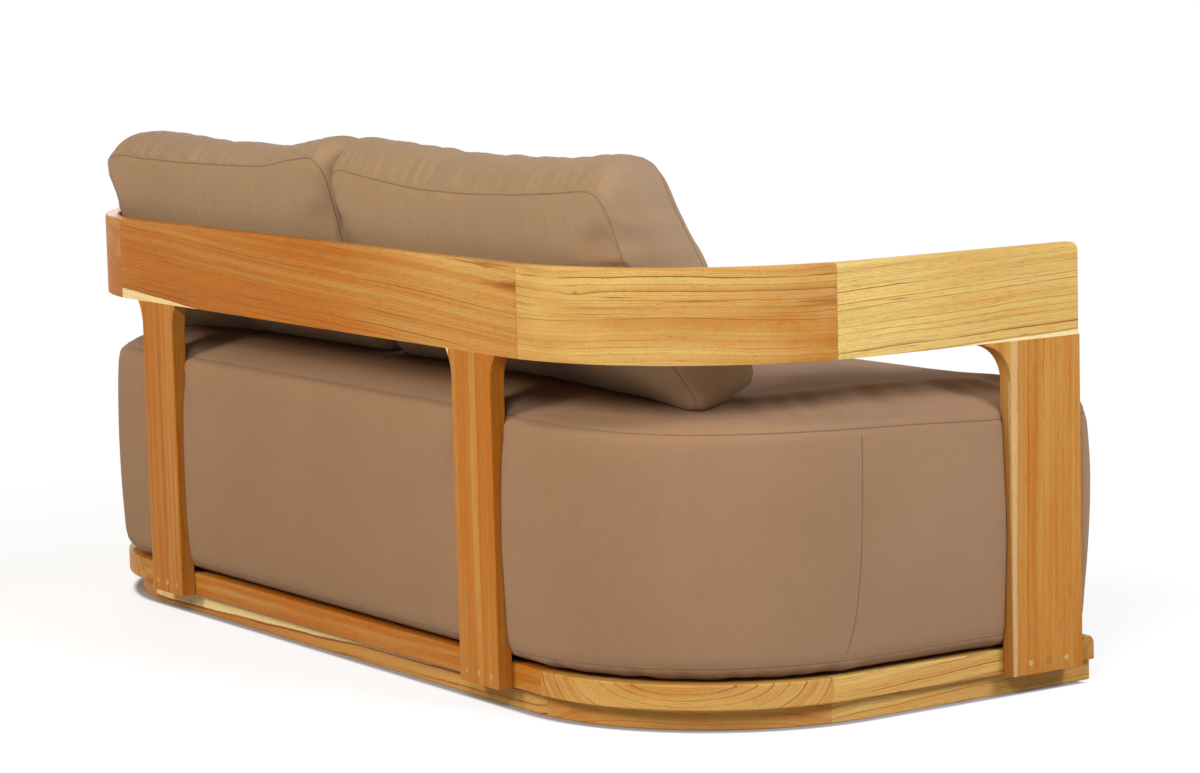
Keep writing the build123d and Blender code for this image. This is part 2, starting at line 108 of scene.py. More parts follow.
class Words:
    """Short words for writing a node tree."""

    def __init__(self, tree):
        self.tree = tree

    def node(self, kind, given=None, **fixed):
        """New node with its fixed values, and its inputs fed by name or number."""
        node = self.tree.nodes.new(kind)
        for name, value in fixed.items():
            setattr(node, name, value)
        self.fill(node, given or {})
        return node

    def out(self, kind, given=None, name=0, **fixed):
        """What a new node gives at one of its outputs."""
        return Value(self, self.node(kind, given, **fixed).outputs[name])

    def fill(self, node, given):
        for name, value in given.items():
            self.feed(node.inputs[name], value)

    def feed(self, socket, value):
        """Link a socket, or write a plain value into an input."""
        value = getattr(value, "socket", value)
        if isinstance(value, bpy.types.NodeSocket):
            self.tree.links.new(value, socket)
        elif socket.type == "RGBA":
            socket.default_value = (*value[:3], 1)
        else:
            socket.default_value = value

    def given(self):
        """What a group is given, by name."""
        outputs = self.node("NodeGroupInput").outputs
        return {socket.name: Value(self, socket) for socket in outputs}

    def math(self, operation, *values, clamp=False):
        return self.out("ShaderNodeMath", dict(enumerate(values)), operation=operation,
                        use_clamp=clamp)

    def larger(self, a, b):
        return self.math("MAXIMUM", a, b)

    def length(self, a, b):
        """Length of two sides at right angles."""
        return self.math("SQRT", a * a + b * b)

    def within(self, value):
        """Value held between 0 and 1."""
        return self.math("ADD", value, 0.0, clamp=True)

    def smooth(self, value, low, high, start=0.0, end=1.0):
        """Value eased from start at low to end at high."""
        values = dict(enumerate((value, low, high, start, end)))
        return self.out("ShaderNodeMapRange", values, interpolation_type="SMOOTHSTEP")

    def mix(self, factor, a, b, blend="MIX"):
        node = self.node("ShaderNodeMix", data_type="RGBA", blend_type=blend)
        for name, value in (("Factor_Float", factor), ("A_Color", a), ("B_Color", b)):
            self.feed(next(s for s in node.inputs if s.identifier == name), value)
        return Value(self, next(s for s in node.outputs if s.identifier == "Result_Color"))

    def noise(self, vector, scale=1.0, detail=2.0):
        return self.out("ShaderNodeTexNoise", {"Vector": vector, "Scale": scale,
                                               "Detail": detail, "Roughness": 0.5}, "Fac")

    def noise_line(self, value, scale, detail):
        """Noise along a single number."""
        return self.out("ShaderNodeTexNoise", {"W": value, "Scale": scale, "Detail": detail},
                        "Fac", noise_dimensions="1D")

    def chance(self, value):
        """One random number for each whole number."""
        return self.out("ShaderNodeTexWhiteNoise", {"W": value}, "Value", noise_dimensions="1D")

    def stack(self, *values):
        return self.out("ShaderNodeCombineXYZ", dict(enumerate(values)))

    def split(self, vector):
        outputs = self.node("ShaderNodeSeparateXYZ", {0: vector}).outputs
        return [Value(self, socket) for socket in outputs]

    def along(self, vector, direction):
        return self.out("ShaderNodeVectorMath", {0: vector, 1: tuple(direction)}, "Value",
                        operation="DOT_PRODUCT")

    def place(self):
        return self.out("ShaderNodeTexCoord", name="Object")

    def normal(self):
        return self.out("ShaderNodeNewGeometry", name="Normal")

    def seen(self):
        """One where the camera looks, straight or in a gloss, and zero for the light."""
        path = self.node("ShaderNodeLightPath").outputs
        return self.larger(path["Is Camera Ray"], path["Is Glossy Ray"])

    def bump(self, height, distance, strength):
        return self.out("ShaderNodeBump", {"Height": height, "Distance": distance,
                                           "Strength": strength})


def new_material(name):
    """Fresh material with its words, its shader and its output linked."""
    material = bpy.data.materials.new(name)
    material.use_nodes = True
    material.node_tree.nodes.clear()
    words = Words(material.node_tree)
    shader = words.node("ShaderNodeBsdfPrincipled")
    words.node("ShaderNodeOutputMaterial", {"Surface": shader.outputs[0]})
    return material, words, shader


def new_group(name, kind, inputs, outputs):
    """Node group with its words and sockets, each socket written as a name and a type."""
    tree = bpy.data.node_groups.new(name, kind)
    for way, sockets in (("INPUT", inputs), ("OUTPUT", outputs)):
        for label, socket in sockets:
            tree.interface.new_socket(label, in_out=way, socket_type="NodeSocket" + socket)
    return tree, Words(tree)


def dress(name, material):
    """Give a CAD node one material."""
    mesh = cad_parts[name].data
    mesh.materials.clear()
    mesh.materials.append(material)


class Board(NamedTuple):
    """How one board lies in its log, whose growth rings are its lines, and what its faces show.

    Its ways run along it, across it and through it, the last two measured from the pith. Each
    knot is its run, height, length, rise and push; each streak is its run, height, length, rise
    and depth of tone. warm_end turns the warmth along the run; joints are the ends that a joint
    closes; the shade line is the height past which the sapwood is left out, as painted shade
    that turns a face in shade amber; paleness sets the sapwood between amber at 0 and its own
    colour at 1.
    """

    ways: tuple
    pith_across: float
    pith_through: float
    slope: float = 0.0
    tilt: float = 0.0
    spacing: float = 0.0075
    wobble: float = 0.016
    warmth: float = 0.6
    contrast: float = 1.25
    sapwood: float = 10.0
    knots: tuple = ()
    streaks: tuple = ()
    warm_end: tuple = ()
    joints: tuple = ()
    painted_shade_line: float = 10.0
    paleness: float = 1.0


X, Y, Z = Vector((1, 0, 0)), Vector((0, 1, 0)), Vector((0, 0, 1))
CROSSWAYS, SIDEWAYS, UPWAYS = (X, Z, Y), (Y, Z, X), (Z, X, Y)
RIGHT_BEND = (unit(1, 1, 0), Z, unit(-1, 1, 0))
LEFT_BEND = (unit(1, -1, 0), Z, unit(1, 1, 0))

BOARDS = {
    "back_rail": Board(CROSSWAYS, 0.78, 0.30, slope=-0.045, joints=(0, 1), spacing=0.0085,
                       warm_end=(-0.52, 0.05, 0.62, 1.08), contrast=1.55, sapwood=0.3075,
                       streaks=((-0.60, 0.590, 0.12, 0.012, 0.75),
                                (-0.52, 0.6165, 0.10, 0.004, 0.6))),
    "right_arm_rail": Board(SIDEWAYS, 0.84, -0.80, slope=0.03, joints=(1,), spacing=0.0095,
                            warm_end=(-0.16, 0.02, 0.20, -0.05), sapwood=0.366, wobble=0.012,
                            streaks=((-0.02, 0.566, 0.05, 0.0025, 0.5),)),
    "left_arm_rail": Board(SIDEWAYS, 0.80, 0.95, slope=0.02, joints=(1,), warmth=0.35),
    "right_corner_rail_upper": Board(RIGHT_BEND, 0.86, 0.72, spacing=0.0085, wobble=0.020,
                                     warm_end=(-0.62, -0.16, 0.62, 0.22),
                                     knots=((-0.243, 0.5866, 0.020, 0.005, 1.0),),
                                     streaks=((-0.590, 0.5720, 0.085, 0.0060, 0.55),
                                              (-0.300, 0.5822, 0.050, 0.0013, 0.80),
                                              (-0.410, 0.5770, 0.085, 0.0012, 0.85))),
    "right_corner_rail_lower": Board(RIGHT_BEND, 0.75, 0.71, spacing=0.0055, wobble=0.009,
                                     warm_end=(-0.62, -0.16, 0.78, 0.42), contrast=0.9),
    "left_corner_rail_upper": Board(LEFT_BEND, 0.90, 0.60, warmth=0.8),
    "left_corner_rail_lower": Board(LEFT_BEND, 0.74, 0.60, warmth=1.1, contrast=1.0),
    "right_back_post": Board(UPWAYS, -0.66, 0.40, warmth=0.95, wobble=0.010, contrast=0.8,
                             sapwood=0.2466),
    "left_back_post": Board(UPWAYS, 0.62, 0.42, spacing=0.0065, warmth=0.88, wobble=0.010),
    # Painted shade: this post's rear face and bracket lie in shade, so past its shade line they
    # are left without sapwood
    "right_arm_post": Board((Z, Y, X), -0.62, -0.20, slope=0.011, spacing=0.0042, warmth=0.80,
                            wobble=0.008, contrast=0.6, sapwood=0.8164, painted_shade_line=-0.210,
                            paleness=0.42),
    "left_arm_post": Board((Z, Y, X), -0.55, 0.95, warmth=0.75, contrast=0.5),
    "ring_back": Board(CROSSWAYS, 0.13, 0.33, tilt=0.03, slope=0.02, spacing=0.010, warmth=0.95,
                       contrast=0.6),
    "ring_front": Board(CROSSWAYS, 0.10, -0.30),
    "ring_right_corner": Board(RIGHT_BEND, 0.085, 0.775, warmth=0.58, wobble=0.006),
    "ring_left_corner": Board(LEFT_BEND, 0.02, 0.78, warmth=0.7),
    "ring_right_side": Board(SIDEWAYS, 0.02, -0.84, slope=0.05, spacing=0.007, warmth=0.32),
    "ring_left_side": Board(SIDEWAYS, 0.10, 0.84, slope=0.03),
    "plinth_back": Board(CROSSWAYS, -0.03, 0.30, slope=0.02, sapwood=0.062),
    "plinth_front": Board(CROSSWAYS, -0.05, -0.30),
    "plinth_right_corner": Board(RIGHT_BEND, -0.06, 0.72, contrast=0.6),
    "plinth_left_corner": Board(LEFT_BEND, -0.06, 0.70),
    "plinth_right_side": Board(SIDEWAYS, 0.09, -0.80, slope=0.04, spacing=0.0065, warmth=0.3),
    "plinth_left_side": Board(SIDEWAYS, 0.09, 0.80, slope=0.03),
    "back_cleat": Board(CROSSWAYS, 0.2, 0.3, warmth=0.5, contrast=0.4),
    "front_cleat": Board(CROSSWAYS, 0.2, -0.3, warmth=0.5, contrast=0.4),
    "left_corner_block": Board(LEFT_BEND, 0.2, 0.5, warmth=0.4, contrast=0.4),
    "right_corner_block": Board(RIGHT_BEND, 0.2, 0.5, warmth=0.4, contrast=0.4),
    "deck_slats": Board((Y, X, Z), 0.03, -0.2, spacing=0.009, warmth=0.45, contrast=0.5),
}

def number(name, note, default, **kind):
    return bpy.props.FloatProperty(name=name, description=note, default=default, **kind)


length, power = partial(number, unit="LENGTH"), partial(number, subtype="POWER")


def angle(name, note, degrees):
    return number(name, note, math.radians(degrees), subtype="ANGLE")


def colour(name, note, *levels):
    return bpy.props.FloatVectorProperty(name=name, description=note, subtype="COLOR",
                                         default=tint(*levels))


class TimberFinish(bpy.types.PropertyGroup):
    """Colours and surface of the oiled teak."""

    honey: colour("Honey", "Pale early wood", 216, 181, 103)
    amber: colour("Amber", "Warm early wood", 176, 104, 28)
    line: colour("Ring line", "Dark late wood", 128, 60, 20)
    sapwood: colour("Sapwood", "Pale outer wood", 234, 208, 148)
    roughness: number("Roughness", "Roughness of the oiled face", 0.45)
    pore_depth: length("Pore depth", "Depth of the open pores", 0.00015)
    plug_radius: length("Plug radius", "Radius of the wooden plugs", 0.00475)
    plug_length: length("Plug length", "Depth of the wooden plugs", 0.0078)


class FabricFinish(bpy.types.PropertyGroup):
    """Colours and weave of the cushion cover."""

    cloth: colour("Cloth", "Taupe yarn of the seat", 161, 127, 95)
    shade: colour("Shade", "Darker yarn of the seat", 134, 99, 68)
    # The back cushions' cloth and its darker yarn are paler than the seat's: partly the cloth's
    # own tone, partly painted light for the brighter light on their reclined panels
    back_cloth: colour("Back cloth", "Paler yarn of the back cushions", 165, 136, 104)
    lit_back_shade: colour("Back shade", "Darker yarn of the back cushions", 143, 113, 82)
    thread: colour("Seam", "Fold of the seam", 122, 91, 63)
    yarn_pitch: length("Yarn pitch", "Distance between yarns", 0.0009)
    seam_radius: length("Seam radius", "Radius of the folded seam", 0.0009)


class SeatShape(bpy.types.PropertyGroup):
    """Making of the seat cushion."""

    voxel: length("Mesh size", "Side of the cloth's cells", 0.0105)
    pressure: number("Pressure", "Pressure of the filling", 1.6)
    swell: length("Swell", "Farthest that the cover may move", 0.010)


class BackShape(bpy.types.PropertyGroup):
    """Making of the back cushions."""

    voxel: length("Mesh size", "Side of the cloth's cells", 0.007)
    pressure: number("Pressure", "Pressure of the filling", 2.5)
    swell: length("Swell", "Farthest that the cover may move", 0.016)
    fold_depth: length("Fold depth", "Depth of the puckers at the seams", 0.0058)


class StudioShape(bpy.types.PropertyGroup):
    """Camera, lamps and the room's own light."""

    camera_place: bpy.props.FloatVectorProperty(
        name="Camera", description="Where the camera stands", subtype="XYZ",
        default=(-4.72624, 2.99066, 1.07053))
    heading: angle("Heading", "Turn of the view from +Y, anticlockwise from above", 236.42)
    pitch: angle("Pitch", "How far the view looks down", 7.19)
    roll: angle("Roll", "Roll of the camera", -1.48)
    lens: number("Lens", "Focal length on a 36 mm wide sensor", 110.67)
    back_lamp: power("Back power", "Lamp behind the back", 160)
    side_lamp: power("Side power", "Lamp beyond the near arm", 155)
    corner_lamp: power("Corner power", "Lamp beside the camera", 125)
    front_lamp: power("Front power", "Low lamp before the seat", 92)
    left_lamp: power("Left power", "Lamp beyond the far arm", 68)
    fill: number("Fill", "Strength of the room's own light", 0.14)


def grain_group():
    """Node group that turns a place in the log into the colour and relief of teak."""
    numbers = ("Along", "Across", "Through", "Seed", "Spacing", "Wobble", "Contrast", "Warmth",
               "Sapwood from")
    colours = ("Honey", "Amber", "Line", "Sapwood")
    tree, words = new_group(
        "Teak grain", "ShaderNodeTree",
        [(label, "Float") for label in numbers] + [(label, "Color") for label in colours],
        [("Color", "Color"), ("Relief", "Float")])
    given = words.given()
    seed = given["Seed"] * 3.17

    def drift(run, rise, detail=2.0):
        """Noise drawn out along the board."""
        where = words.stack(given["Along"] * run + seed, given["Across"] * rise + seed,
                            given["Through"] * rise + seed)
        return words.noise(where, detail=detail)

    def swing(run, rise, detail=2.0):
        """The same noise on both sides of zero."""
        return drift(run, rise, detail) - 0.5

    # Distance from the pith, bent by slow and quick waves
    bent = given["Across"] + swing(1.7, 5.0) * given["Wobble"] + swing(9.0, 26.0) * 0.0050 \
        + swing(45.0, 170.0) * 0.0009
    radius = words.length(bent, given["Through"])

    def rings(spacing, shift, sharp):
        """Thin dark late wood at the end of each uneven ring, and a number the ring keeps."""
        count = radius / spacing + words.noise_line(radius + seed + shift, 38.0, 2.0) * 2.6
        ring = words.math("FRACT", count)
        rise = words.smooth(ring, 0.20, 0.96) ** sharp
        late = words.math("MINIMUM", rise, words.smooth(ring, 0.97, 1.0, 1.0, 0.0))
        return late, words.chance(words.math("FLOOR", count))

    late, chance = rings(given["Spacing"], 0.0, 22.0)
    faint, faint_chance = rings(given["Spacing"] * 0.31, 1.0, 9.0)
    fade = words.smooth(drift(4.0, 22.0), 0.36, 0.58, 0.25, 1.0)
    line = words.larger(late * (chance ** 1.5 * 1.1 + 0.15) * fade, faint * (faint_chance * 0.42))

    # Early wood: pale to warm, in streaks of three widths that follow the board
    bands = words.noise_line(radius + seed, 70.0, 4.0) - 0.5
    narrow, hair = swing(4.0, 150.0, 3.0), swing(22.0, 800.0)
    warm = bands * 0.6 + swing(1.1, 16.0, 3.0) + narrow * 0.7 + hair * 0.5 + given["Warmth"]
    early = words.mix(words.within(warm), given["Honey"], given["Amber"])
    depth = narrow * 0.45 + hair * 0.55 + 1.0
    early = words.mix(1.0, early, words.stack(depth, depth, depth), "MULTIPLY")

    # Sapwood outside the heart, behind a dark border
    past = radius - given["Sapwood from"]
    outside = words.smooth(past, 0.0, 0.0012)
    border = words.smooth(past, -0.0035, 0.0) * (1.0 - outside)
    marks = (line * (1.0 - outside * 0.7) + border * 0.35) * given["Contrast"]
    wood = words.mix(words.within(marks), words.mix(outside, early, given["Sapwood"]),
                     given["Line"])

    # Fine open pores, longest along the board
    pores = words.smooth(drift(42.0, 1250.0, 1.0), 0.58, 0.72)
    wood = words.mix(pores * 0.42, wood, given["Line"])
    words.node("NodeGroupOutput", {"Color": wood, "Relief": pores * -1.0 + line * -0.5})
    return tree


def teak(name, board, seed, group, timber):
    """Oiled teak for one board, with its own knots and dark streaks."""
    material, words, shader = new_material("teak_" + name)
    place, lengthwise = words.place(), board.ways[0]
    run, height, depth = (words.along(place, way) for way in board.ways)

    def oval(spot_run, spot_height, length, rise):
        """Squared distance from a spot in units of its size."""
        return ((run - spot_run) / length) ** 2.0 + ((height - spot_height) / rise) ** 2.0

    across = height + run * board.slope - board.pith_across
    for *spot, length, rise, push in board.knots:
        across += math.e ** (oval(*spot, length, rise) * -0.5) * (push * rise)
    sapwood, warmth = board.sapwood, board.warmth
    # Painted shade: past the shade line the sapwood is left out, so a face in shade shows darker
    # amber
    if board.painted_shade_line < 1:
        edge = board.painted_shade_line
        sapwood = words.smooth(height, edge, edge + 0.0004, 0.0, 10.0) + sapwood
    if board.warm_end:
        warmth = words.smooth(run, *board.warm_end)
    pale = [amber + (light - amber) * board.paleness
            for amber, light in zip(timber.amber, timber.sapwood)]
    grain = words.node("ShaderNodeGroup", node_tree=group)
    words.fill(grain, {
        "Along": run, "Across": across,
        "Through": depth + run * board.tilt - board.pith_through,
        "Seed": seed, "Spacing": board.spacing, "Wobble": board.wobble,
        "Contrast": board.contrast, "Warmth": warmth, "Sapwood from": sapwood,
        "Honey": timber.honey, "Amber": timber.amber, "Line": timber.line, "Sapwood": pale})
    colour, relief = (Value(words, grain.outputs[name]) for name in ("Color", "Relief"))

    for spot_run, spot_height, length, rise, tone in board.streaks:
        ragged = words.noise(words.stack(run * 30.0, height * 400.0, 0.0)) - 0.5
        far = abs((run - spot_run) / length) + abs((height - spot_height) / rise) + ragged * 0.9
        colour = words.mix(words.smooth(far, 0.2, 1.1, 1.0, 0.0) * tone, colour, timber.line)
    for *spot, length, rise, push in board.knots:
        mask = words.smooth(oval(*spot, length / 4, rise / 2), 0.1, 1.2, 0.45, 0.0)
        colour = words.mix(mask, colour, timber.line)
    for end in board.joints:
        near = abs(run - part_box(name)[end].dot(lengthwise))
        colour = words.mix(words.smooth(near, 0.0003, 0.0011, 0.8, 0.0), colour, timber.line)

    # End grain is darker and duller than the faces
    end = words.smooth(abs(words.along(words.normal(), lengthwise)), 0.80, 0.95)
    words.fill(shader, {
        "Base Color": words.mix(end * 0.25, colour, timber.line),
        "Roughness": relief * -0.08 + end * 0.2 + timber.roughness,
        "Specular IOR Level": 0.08,
        "Normal": words.bump(relief, timber.pore_depth, 0.6)})
    return material


def plug_wood(timber):
    """Face grain of a cut plug, with the dark line of its glued edge."""
    material, words, shader = new_material("plug_wood")
    x, y, z = words.split(words.place())
    lines = words.noise(words.stack(x * 260.0, y * 260.0, z * 1400.0), detail=3.0)
    tone, rim = (words.out("ShaderNodeAttribute", name="Fac", attribute_name=name)
                 for name in ("tone", "rim"))
    uneven = lines - 0.5
    wood = words.mix(uneven * 0.5 + tone, timber.honey, timber.line)
    edge = words.smooth(rim + uneven * 0.12, 0.82, 0.97)
    words.fill(shader, {
        "Base Color": words.mix(edge * 0.5, wood, timber.line),
        "Roughness": lines * 0.15 + 0.5,
        "Specular IOR Level": 0.08,
        "Normal": words.bump(lines, 0.0002, 0.4)})
    return material


def dowel_beech():
    """Pale beech, lined along the dowels that stand upright."""
    material, words, shader = new_material("dowel_beech")
    x, y, z = words.split(words.place())
    lines = words.noise(words.stack(x * 300.0, y * 300.0, z))
    words.fill(shader, {
        "Base Color": words.mix(lines, tint(214, 178, 130), tint(186, 148, 102)),
        "Roughness": lines * 0.1 + 0.6})
    return material


def screw_steel():
    """Dull steel with a slight unevenness."""
    material, words, shader = new_material("screw_steel")
    brushed = words.noise(words.place(), 900.0)
    words.fill(shader, {
        "Base Color": words.mix(brushed, tint(168, 166, 160), tint(140, 139, 135)),
        "Metallic": 1.0,
        "Roughness": brushed * 0.2 + 0.3})
    return material


def weave(name, pitch, cloth, shade):
    """Plain woven outdoor cloth: fine crossing yarns, slubs and a soft unevenness."""
    material, words, shader = new_material(name)
    place = words.place()
    x, y, z = words.split(place)
    facing = words.out("ShaderNodeVectorMath", {0: words.normal()}, operation="ABSOLUTE")
    across, deep, upward = words.split(facing)
    turn = 2 * math.pi / pitch

    def yarns(a, b):
        """Checker of yarns over and under each other."""
        return words.math("SINE", a * turn) * words.math("SINE", b * turn)

    def slubs(a, b, c):
        """Uneven thick yarns, drawn out along each way of the cloth."""
        warp, weft = (words.noise(words.stack(a * fast, b * slow, c), detail=1.0)
                      for fast, slow in ((900.0, 55.0), (55.0, 900.0)))
        return (warp + weft) * 0.5

    sideways = words.smooth(across - deep, -0.1, 0.1)
    upright = words.smooth(upward - words.larger(across, deep), -0.1, 0.1)

    def chosen(front, side, top):
        """The pattern of whichever way a face looks."""
        wall = front * (1.0 - sideways) + side * sideways
        return wall * (1.0 - upright) + top * upright

    checks = chosen(yarns(x, z), yarns(y, z), yarns(x, y))
    mixed = chosen(slubs(x, z, y), slubs(y, z, x), slubs(x, y, z))
    cloud = words.smooth(words.noise(place, 4.0, 3.0), 0.3, 0.7, -0.08, 0.08)
    tone = words.smooth(mixed, 0.34, 0.66, -0.10, 0.10) + checks * 0.06 + cloud + 0.42
    words.fill(shader, {
        "Base Color": words.mix(words.within(tone), cloth, shade),
        "Roughness": mixed * 0.1 + 0.8,
        "Specular IOR Level": 0.05, "Sheen Weight": 0.08, "Sheen Roughness": 0.5,
        "Normal": words.bump(checks * 0.5 + mixed, 0.00025, 0.45)})
    return material


def seam_cloth(name, shade, fold):
    """Folded seam: the same cloth, darker where its yarns turn in."""
    material, words, shader = new_material(name)
    spread = words.noise(words.place(), 900.0, 1.0)
    words.fill(shader, {
        "Base Color": words.mix(words.smooth(spread, 0.3, 0.7), shade, fold),
        "Roughness": spread * 0.1 + 0.82,
        "Normal": words.bump(spread, 0.0003, 0.5)})
    return material


def bake(obj):
    """Turn an object and its modifiers into its plain mesh."""
    graph = bpy.context.evaluated_depsgraph_get()
    mesh = bpy.data.meshes.new_from_object(obj.evaluated_get(graph))
    obj.modifiers.clear()
    obj.data = mesh


def new_object(name, data):
    """Object at the origin, linked to the scene."""
    obj = bpy.data.objects.new(name, data)
    bpy.context.scene.collection.objects.link(obj)
    return obj


def threes(items, name):
    """Numbers of a mesh's items as an array of threes."""
    values = np.zeros(len(items) * 3, np.float32)
    items.foreach_get(name, values)
    return values.reshape(-1, 3).astype(float)


def points_of(mesh):
    return threes(mesh.vertices, "co")


def normals_of(mesh):
    return threes(mesh.vertex_normals, "vector")


def set_points(mesh, points):
    mesh.vertices.foreach_set("co", np.asarray(points, np.float32).ravel())
    mesh.update()


def surface(mesh):
    """Search tree of a mesh's faces."""
    return BVHTree.FromPolygons([v.co for v in mesh.vertices],
                                [p.vertices for p in mesh.polygons])


def nearest(tree, path):
    """The places of a surface that lie nearest to a path's points."""
    return [tree.find_nearest(Vector(point))[0] for point in path]


def remeshed(node, voxel, name):
    """Closed even mesh of a CAD solid."""
    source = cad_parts[node].data.copy()
    work = bmesh.new()
    work.from_mesh(source)
    bmesh.ops.remove_doubles(work, verts=work.verts, dist=1e-6)
    work.to_mesh(source)
    work.free()
    obj = new_object(name, source)
    skin = obj.modifiers.new("Even cells", "REMESH")
    skin.mode = "VOXEL"
    skin.voxel_size = voxel
    bake(obj)
    return obj


def inflate(obj, pressure, swell, held):
    """Fill a cover with pressure while its held points stay, and cap how far it moves."""
    rest = points_of(obj.data)
    group = obj.vertex_groups.new(name="seams")
    for index, weight in enumerate(held):
        if weight > 0.01:
            group.add([index], float(weight), "REPLACE")
    cloth = obj.modifiers.new("Cover", "CLOTH")
    values = {"quality": 5, "mass": 0.4, "tension_stiffness": 12, "compression_stiffness": 12,
              "shear_stiffness": 4, "bending_stiffness": 0.6, "use_pressure": True,
              "uniform_pressure_force": pressure, "vertex_group_mass": "seams",
              "pin_stiffness": 0.6}
    for name, value in values.items():
        setattr(cloth.settings, name, value)
    cloth.settings.effector_weights.gravity = 0
    cloth.collision_settings.use_collision = False
    scene = bpy.context.scene
    for step in range(1, CLOTH_STEPS + 1):
        scene.frame_set(step)
    bake(obj)
    scene.frame_set(1)
    moved = points_of(obj.data) - rest
    lengths = np.linalg.norm(moved, axis=1, keepdims=True)
    capped = moved * np.minimum(1.0, swell / np.maximum(lengths, 1e-9))
    set_points(obj.data, rest + capped)
    obj.vertex_groups.clear()


def eased(values, low, high):
    """Smooth step from 0 at low to 1 at high."""
    share = np.clip((values - low) / (high - low), 0, 1)
    return share * share * (3 - 2 * share)


def plane_distance(points, origin, normal):
    return (points - np.array(origin)) @ np.array(normal)


def seam_loop(mesh, origin, normal):
    """Closed line in which a plane cuts a mesh, as ordered points."""
    work = bmesh.new()
    work.from_mesh(mesh)
    geometry = work.verts[:] + work.edges[:] + work.faces[:]
    cut = bmesh.ops.bisect_plane(work, geom=geometry, plane_co=origin, plane_no=normal)
    links = {}
    for edge in cut["geom_cut"]:
        if isinstance(edge, bmesh.types.BMEdge):
            a, b = edge.verts
            links.setdefault(a, []).append(b)
            links.setdefault(b, []).append(a)
    loops = []
    while links:
        here, path = next(iter(links)), []
        while here is not None:
            path.append(here.co.copy())
            here = next((v for v in links.pop(here) if v in links), None)
        loops.append(path)
    work.free()
    if not loops:
        raise RuntimeError("the seam's plane misses the cushion")
    return max(loops, key=len)


def evened(path, pitch, closed=True, rounds=40):
    """Path with points a pitch apart, eased so that it runs smoothly."""
    points = np.array([tuple(p) for p in path])
    ring = np.vstack([points, points[:1]]) if closed else points
    steps = np.linalg.norm(np.diff(ring, axis=0), axis=1)
    reach = np.concatenate([[0], np.cumsum(steps)])
    count = max(8, int(reach[-1] / pitch))
    places = np.linspace(0, reach[-1], count, endpoint=not closed)
    even = np.stack([np.interp(places, reach, ring[:, axis]) for axis in range(3)], axis=1)
    for _ in range(rounds):
        if closed:
            even = (np.roll(even, 1, 0) + 2 * even + np.roll(even, -1, 0)) / 4
        else:
            even[1:-1] = (even[:-2] + 2 * even[1:-1] + even[2:]) / 4
    return even


def geometry_group(name, *numbers):
    """Geometry node group that takes a mesh and some numbers and gives a mesh."""
    geometry = ("Geometry", "Geometry")
    return new_group(name, "GeometryNodeTree",
                     [geometry] + [(number, "Float") for number in numbers], [geometry])


def close_group(words, geometry, material):
    """End a geometry group: realize what it holds and give it its material."""
    real = words.out("GeometryNodeRealizeInstances", {0: geometry})
    painted = words.out("GeometryNodeSetMaterial", {"Geometry": real, "Material": material})
    words.node("NodeGroupOutput", {"Geometry": painted})


def fold_group(material):
    """Geometry nodes that lay a round fold of cloth along a path."""
    tree, words = geometry_group("Seam fold", "Radius")
    given = words.given()
    path = words.out("GeometryNodeMeshToCurve", {"Mesh": given["Geometry"]})
    ring = words.out("GeometryNodeCurvePrimitiveCircle",
                     {"Resolution": 8, "Radius": given["Radius"]}, "Curve")
    fold = words.out("GeometryNodeCurveToMesh",
                     {"Curve": path, "Profile Curve": ring, "Fill Caps": True})
    close_group(words, fold, material)
    return tree


def plug_group(material):
    """Geometry nodes that set a round plug into each point, facing its way out."""
    tree, words = geometry_group("Wooden plugs", "Radius", "Length")
    given = words.given()
    radius, length = given["Radius"], given["Length"]
    plug = words.out("GeometryNodeMeshCone",
                     {"Vertices": 40, "Fill Segments": 4, "Radius Top": radius * 0.97,
                      "Radius Bottom": radius, "Depth": length},
                     "Mesh", fill_type="TRIANGLE_FAN")
    x, y, _ = words.split(words.out("GeometryNodeInputPosition"))
    marked = words.out("GeometryNodeStoreNamedAttribute",
                       {"Geometry": plug, "Name": "rim", "Value": words.length(x, y) / radius},
                       data_type="FLOAT", domain="POINT")
    sunk = words.out("GeometryNodeTransform",
                     {"Geometry": marked, "Translation": words.stack(0.0, 0.0, length * -1.0)})
    way = words.out("GeometryNodeInputNamedAttribute", {"Name": "outward"}, "Attribute",
                    data_type="FLOAT_VECTOR")
    turned = words.out("FunctionNodeAlignRotationToVector", {"Vector": way}, axis="Z")
    placed = words.out("GeometryNodeInstanceOnPoints",
                       {"Points": given["Geometry"], "Instance": sunk, "Rotation": turned})
    close_group(words, placed, material)
    return tree


# Places of the plugs, three across the foot of each post, and the tone of each
PLUG_HEIGHT = 0.047
BACK_PLUGS = (0.436, 0.468, 0.500)
ARM_PLUGS = (-0.304, -0.272, -0.240)
PLUG_TONES = (0.43, 0.33, 0.38, 0.48, 0.38, 0.43, 0.33, 0.48, 0.38, 0.30, 0.70, 0.34)


def plug_points(name):
    """Point for each plug, with its way out of the post and its tone."""
    low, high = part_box("post_plugs")
    spots = [((sign * x, high.y), Y) for sign in (1, -1) for x in BACK_PLUGS]
    spots += [((side, y), way) for side, way in ((high.x, X), (low.x, -X)) for y in ARM_PLUGS]
    mesh = bpy.data.meshes.new(name)
    mesh.from_pydata([(*place, PLUG_HEIGHT) for place, _ in spots], [], [])
    ways = mesh.attributes.new("outward", "FLOAT_VECTOR", "POINT")
    ways.data.foreach_set("vector", np.array([way for _, way in spots], np.float32).ravel())
    tones = mesh.attributes.new("tone", "FLOAT", "POINT")
    tones.data.foreach_set("value", PLUG_TONES)
    return mesh


def with_nodes(name, mesh, tree, values):
    """Plain mesh object made by a geometry tree from a mesh."""
    obj = new_object(name, mesh)
    live = obj.modifiers.new("Made by nodes", "NODES")
    live.node_group = tree
    for item in tree.interface.items_tree:
        if item.item_type == "SOCKET" and item.in_out == "INPUT" and item.name in values:
            live[item.identifier] = values[item.name]
    bake(obj)
    return obj


